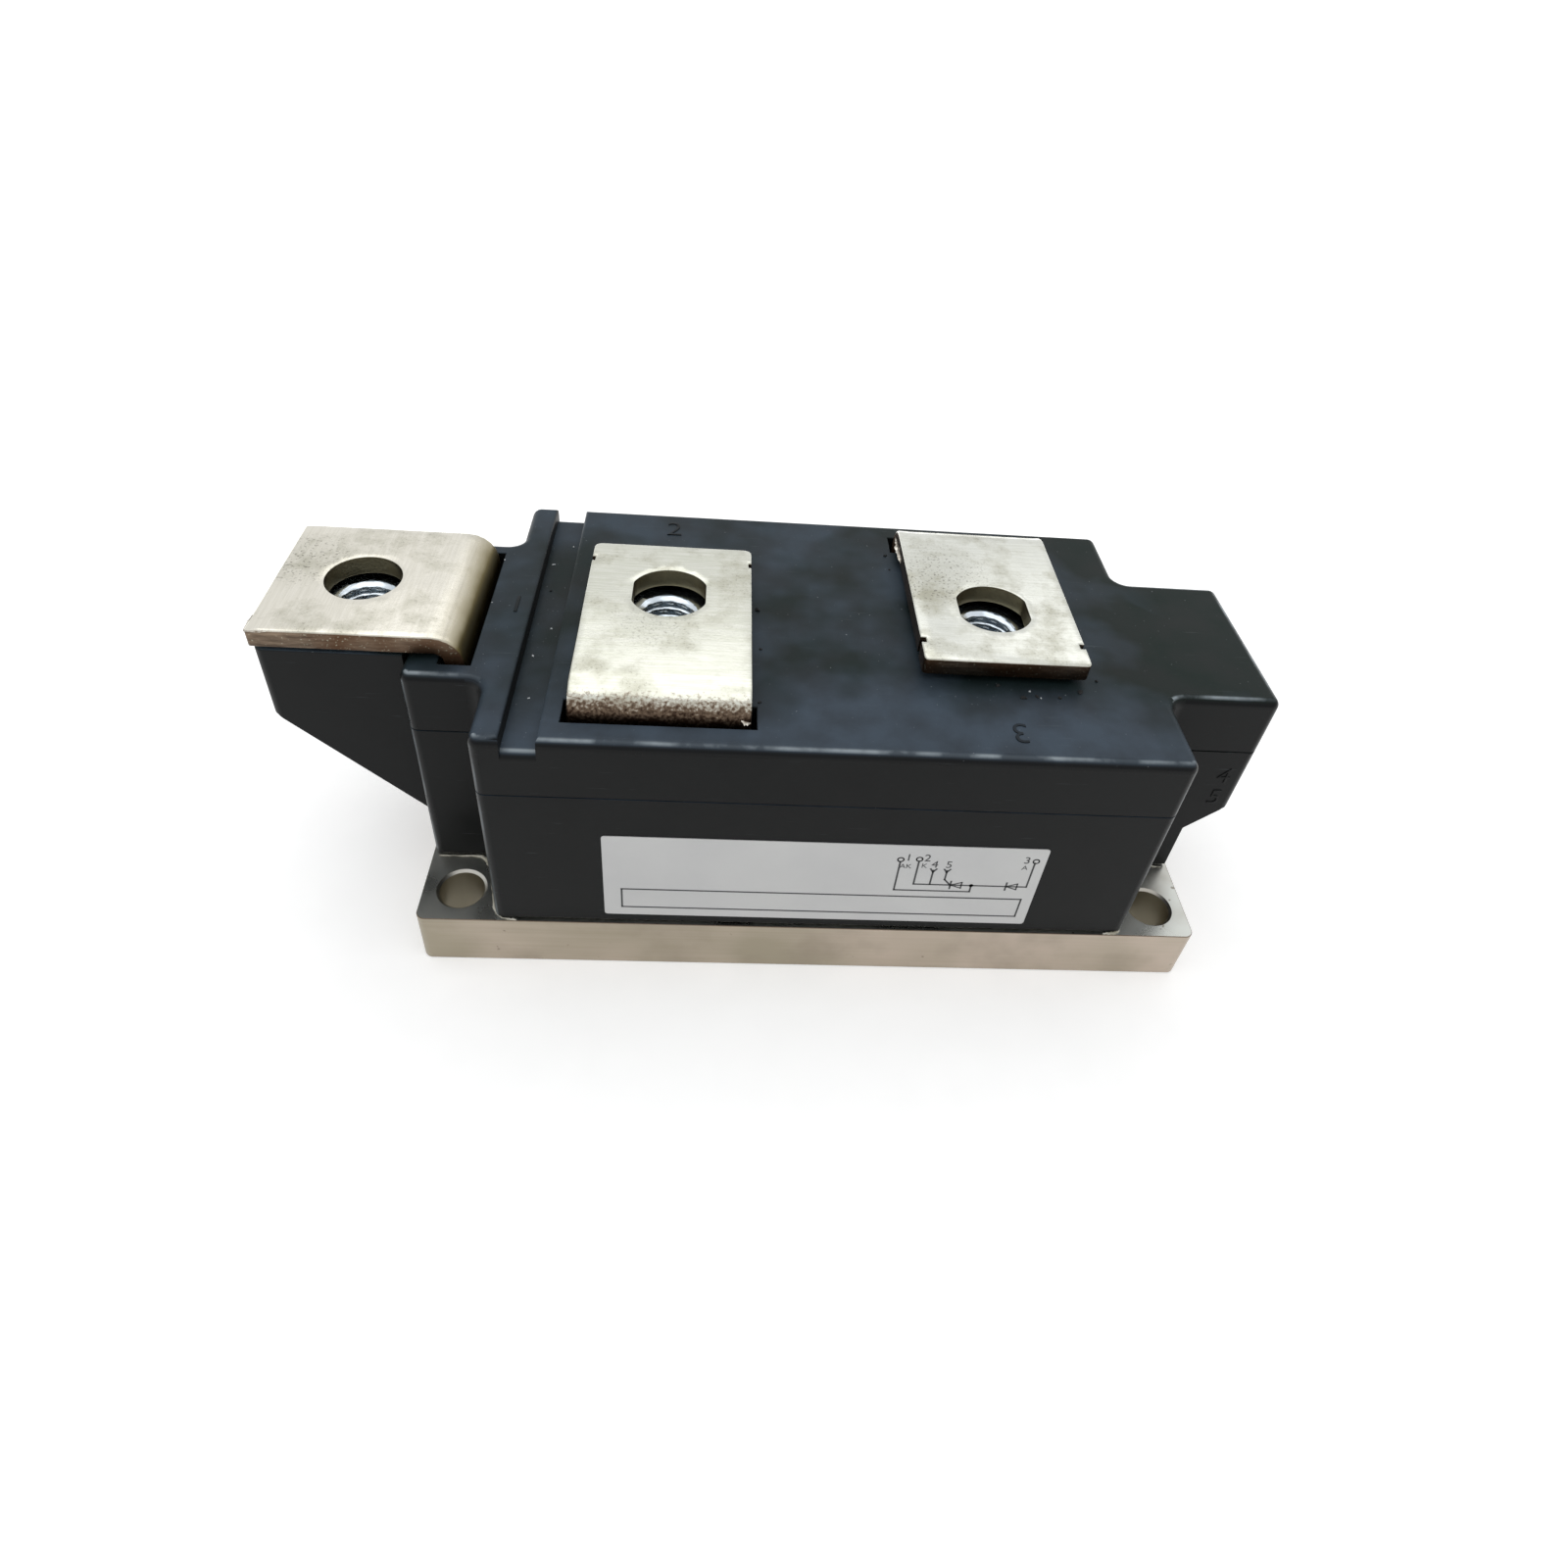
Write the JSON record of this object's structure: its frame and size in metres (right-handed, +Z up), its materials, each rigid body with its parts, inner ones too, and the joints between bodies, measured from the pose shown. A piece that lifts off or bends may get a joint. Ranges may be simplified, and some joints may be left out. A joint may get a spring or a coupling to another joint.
{
  "type": "thyristor module",
  "caption": "Isolated thyristor and diode power module: plated copper base, black moulded housing with overhanging nose, bent screw terminals with captive nuts, gate sockets in the end block.",
  "frame": {"origin": "centre of the four mounting holes, on the underside of the base plate", "axes": "+X along the module towards the gate sockets, +Y to the back (the label is at the front, -Y), +Z up out of the base"},
  "size_m": [0.1501, 0.06, 0.052],
  "materials": {
    "moulded_black": "matt black moulded thermoplastic",
    "plated_base": "nickel-plated copper, satin",
    "plated_copper": "tin-plated copper, scuffed, with brown sheared edges",
    "zinc_steel": "bright zinc-plated steel",
    "label": "silver-grey printed film",
    "seal": "silicone bead",
    "ceramic": "fired ceramic, unglazed",
    "silicon": "polished silicon",
    "molybdenum": "lapped molybdenum",
    "spring_steel": "phosphated steel",
    "pale_plastic": "moulded insulating plastic",
    "gate_wire": "white insulated wire",
    "cathode_wire": "red insulated wire"
  },
  "bodies": {
    "root": {"base_plate": "plated_base", "base_seal": "seal", "housing_frame": "moulded_black", "housing_lid": "moulded_black", "front_label": "label", "common_bar": "plated_copper", "cathode_bar": "plated_copper", "anode_bar": "plated_copper", "common_nut": "zinc_steel", "cathode_nut": "zinc_steel", "anode_nut": "zinc_steel", "thyristor_insulator": "ceramic", "thyristor_anode_disc": "molybdenum", "thyristor_wafer": "silicon", "thyristor_cathode_disc": "molybdenum", "diode_insulator": "ceramic", "diode_cathode_disc": "molybdenum", "diode_wafer": "silicon", "diode_anode_disc": "molybdenum", "thyristor_pressure_cap": "pale_plastic", "thyristor_disc_springs": "spring_steel", "thyristor_yoke": "spring_steel", "thyristor_clamp_screws": "zinc_steel", "diode_pressure_cap": "pale_plastic", "diode_disc_springs": "spring_steel", "diode_yoke": "spring_steel", "diode_clamp_screws": "zinc_steel", "gate_pin": "plated_copper", "gate_spring": "spring_steel", "gate_bush": "pale_plastic", "gate_tab": "plated_copper", "cathode_tab": "plated_copper", "gate_lead": "gate_wire", "cathode_lead": "cathode_wire"}
  },
  "joints": []
}
